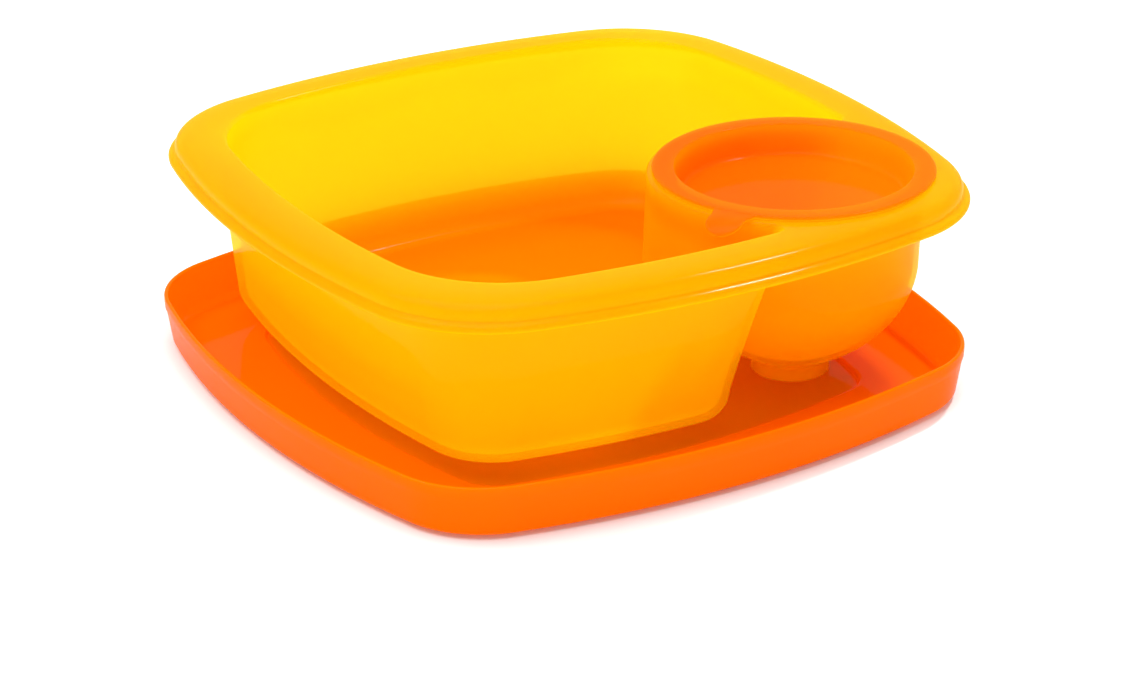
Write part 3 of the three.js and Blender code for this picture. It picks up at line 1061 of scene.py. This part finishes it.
# Each lamp's place, width, height and power. Both shine on the same point.
LAMPS = {
    "glint_box": ((0.773, 0.164, 1.31), 0.07, 0.16, 13.0),
    "top_box": ((-0.35, 0.05, 1.6), 1.8, 1.8, 38.0),
}
LAMP_TARGET = Vector((0.0, 0.0, 0.03))
WORLD_STRENGTH = 0.68
FLOOR_SIZE = 12.0
FLOOR_ROUGHNESS = 0.8
FLOOR_GLOW = 0.08
TRANSPARENT_BOUNCES = 32  # enough for a ray through every wall of the bowl


def aim(target_object, direction_to_viewer, roll=0.0):
    """Turns a lamp or a camera to look along a direction, level unless it is rolled."""
    turn = (-direction_to_viewer).to_track_quat("-Z", "Y")
    target_object.rotation_mode = "QUATERNION"
    target_object.rotation_quaternion = turn @ Matrix.Rotation(roll, 3, "Z").to_quaternion()


def add_camera():
    """The camera, in front on the left and a little above the rim."""
    flat = math.cos(CAMERA_ELEVATION)
    across, forward = math.sin(CAMERA_AZIMUTH) * flat, -math.cos(CAMERA_AZIMUTH) * flat
    back = Vector((across, forward, math.sin(CAMERA_ELEVATION)))
    bpy.ops.object.camera_add(location=CAMERA_TARGET + back * CAMERA_DISTANCE)
    camera = bpy.context.object
    camera.name = "viewpoint"
    camera.data.lens = CAMERA_LENS
    camera.data.sensor_width = CAMERA_SENSOR
    camera.data.clip_end = CAMERA_REACH
    aim(camera, back, CAMERA_ROLL)
    bpy.context.scene.camera = camera


def add_softbox(name, place, width, height, power):
    """A rectangular lamp aimed at the server."""
    bpy.ops.object.light_add(type="AREA", location=place)
    lamp = bpy.context.object
    lamp.name = name
    lamp.data.shape = "RECTANGLE"
    lamp.data.size = width
    lamp.data.size_y = height
    lamp.data.energy = power
    aim(lamp, (Vector(place) - LAMP_TARGET).normalized())


def add_floor(floor_colour):
    """A wide pale floor."""
    deselect_all()
    bpy.ops.mesh.primitive_plane_add(size=FLOOR_SIZE, location=(0, 0, 0))
    floor = bpy.context.object
    floor.name = "floor"
    material = bpy.data.materials.new("pale_floor")
    material.use_nodes = True
    shader = material.node_tree.nodes["Principled BSDF"]
    shader.inputs["Base Color"].default_value = floor_colour
    shader.inputs["Roughness"].default_value = FLOOR_ROUGHNESS
    shader.inputs["Emission Color"].default_value = floor_colour
    shader.inputs["Emission Strength"].default_value = FLOOR_GLOW
    floor.data.materials.append(material)


def add_world():
    """Even white light all round."""
    world = bpy.data.worlds.new("studio")
    world.use_nodes = True
    bpy.context.scene.world = world
    background = world.node_tree.nodes["Background"]
    background.inputs["Color"].default_value = (1.0, 1.0, 1.0, 1.0)
    background.inputs["Strength"].default_value = WORLD_STRENGTH


class SERVER_OT_stage(bpy.types.Operator):
    """Set up the floor, the studio light and the camera"""

    bl_idname = "server.stage"
    bl_label = "Stage"

    def execute(self, context):
        deselect_all()
        add_world()
        add_floor(context.scene.server_colours.floor)
        for name, settings in LAMPS.items():
            add_softbox(name, *settings)
        add_camera()
        context.scene.view_settings.view_transform = "Standard"
        context.scene.cycles.transparent_max_bounces = TRANSPARENT_BOUNCES
        return {"FINISHED"}


class SERVER_PT_panel(bpy.types.Panel):
    """Lists the server's pieces, their sizes and their colours"""

    bl_label = "Chip and Dip Server"
    bl_idname = "SERVER_PT_panel"
    bl_space_type = "VIEW_3D"
    bl_region_type = "UI"
    bl_category = "Server"

    def draw(self, context):
        groups = (
            ("server.tray", context.scene.server_tray),
            ("server.bowl", context.scene.server_bowl),
            ("server.seal", context.scene.server_seal),
            ("server.stage", context.scene.server_colours),
        )
        for operator, sizes in groups:
            box = self.layout.box()
            box.operator(operator)
            for name in sizes.__annotations__:
                box.prop(sizes, name)


SIZE_GROUPS = {
    "server_tray": TraySizes,
    "server_bowl": BowlSizes,
    "server_seal": SealSizes,
    "server_colours": ServerColours,
}
CLASSES = (
    *SIZE_GROUPS.values(),
    SERVER_OT_tray,
    SERVER_OT_bowl,
    SERVER_OT_seal,
    SERVER_OT_stage,
    SERVER_PT_panel,
)


def register():
    """Adds the classes and the scene's settings."""
    for item in CLASSES:
        bpy.utils.register_class(item)
    for name, group in SIZE_GROUPS.items():
        setattr(bpy.types.Scene, name, PointerProperty(type=group))


def unregister():
    """Takes away what register added."""
    for name in SIZE_GROUPS:
        delattr(bpy.types.Scene, name)
    for item in reversed(CLASSES):
        bpy.utils.unregister_class(item)


def main():
    """Models the server and its stage."""
    register()
    bpy.ops.server.tray()
    bpy.ops.server.bowl()
    bpy.ops.server.seal()
    bpy.ops.server.stage()


if __name__ == "__main__":
    main()
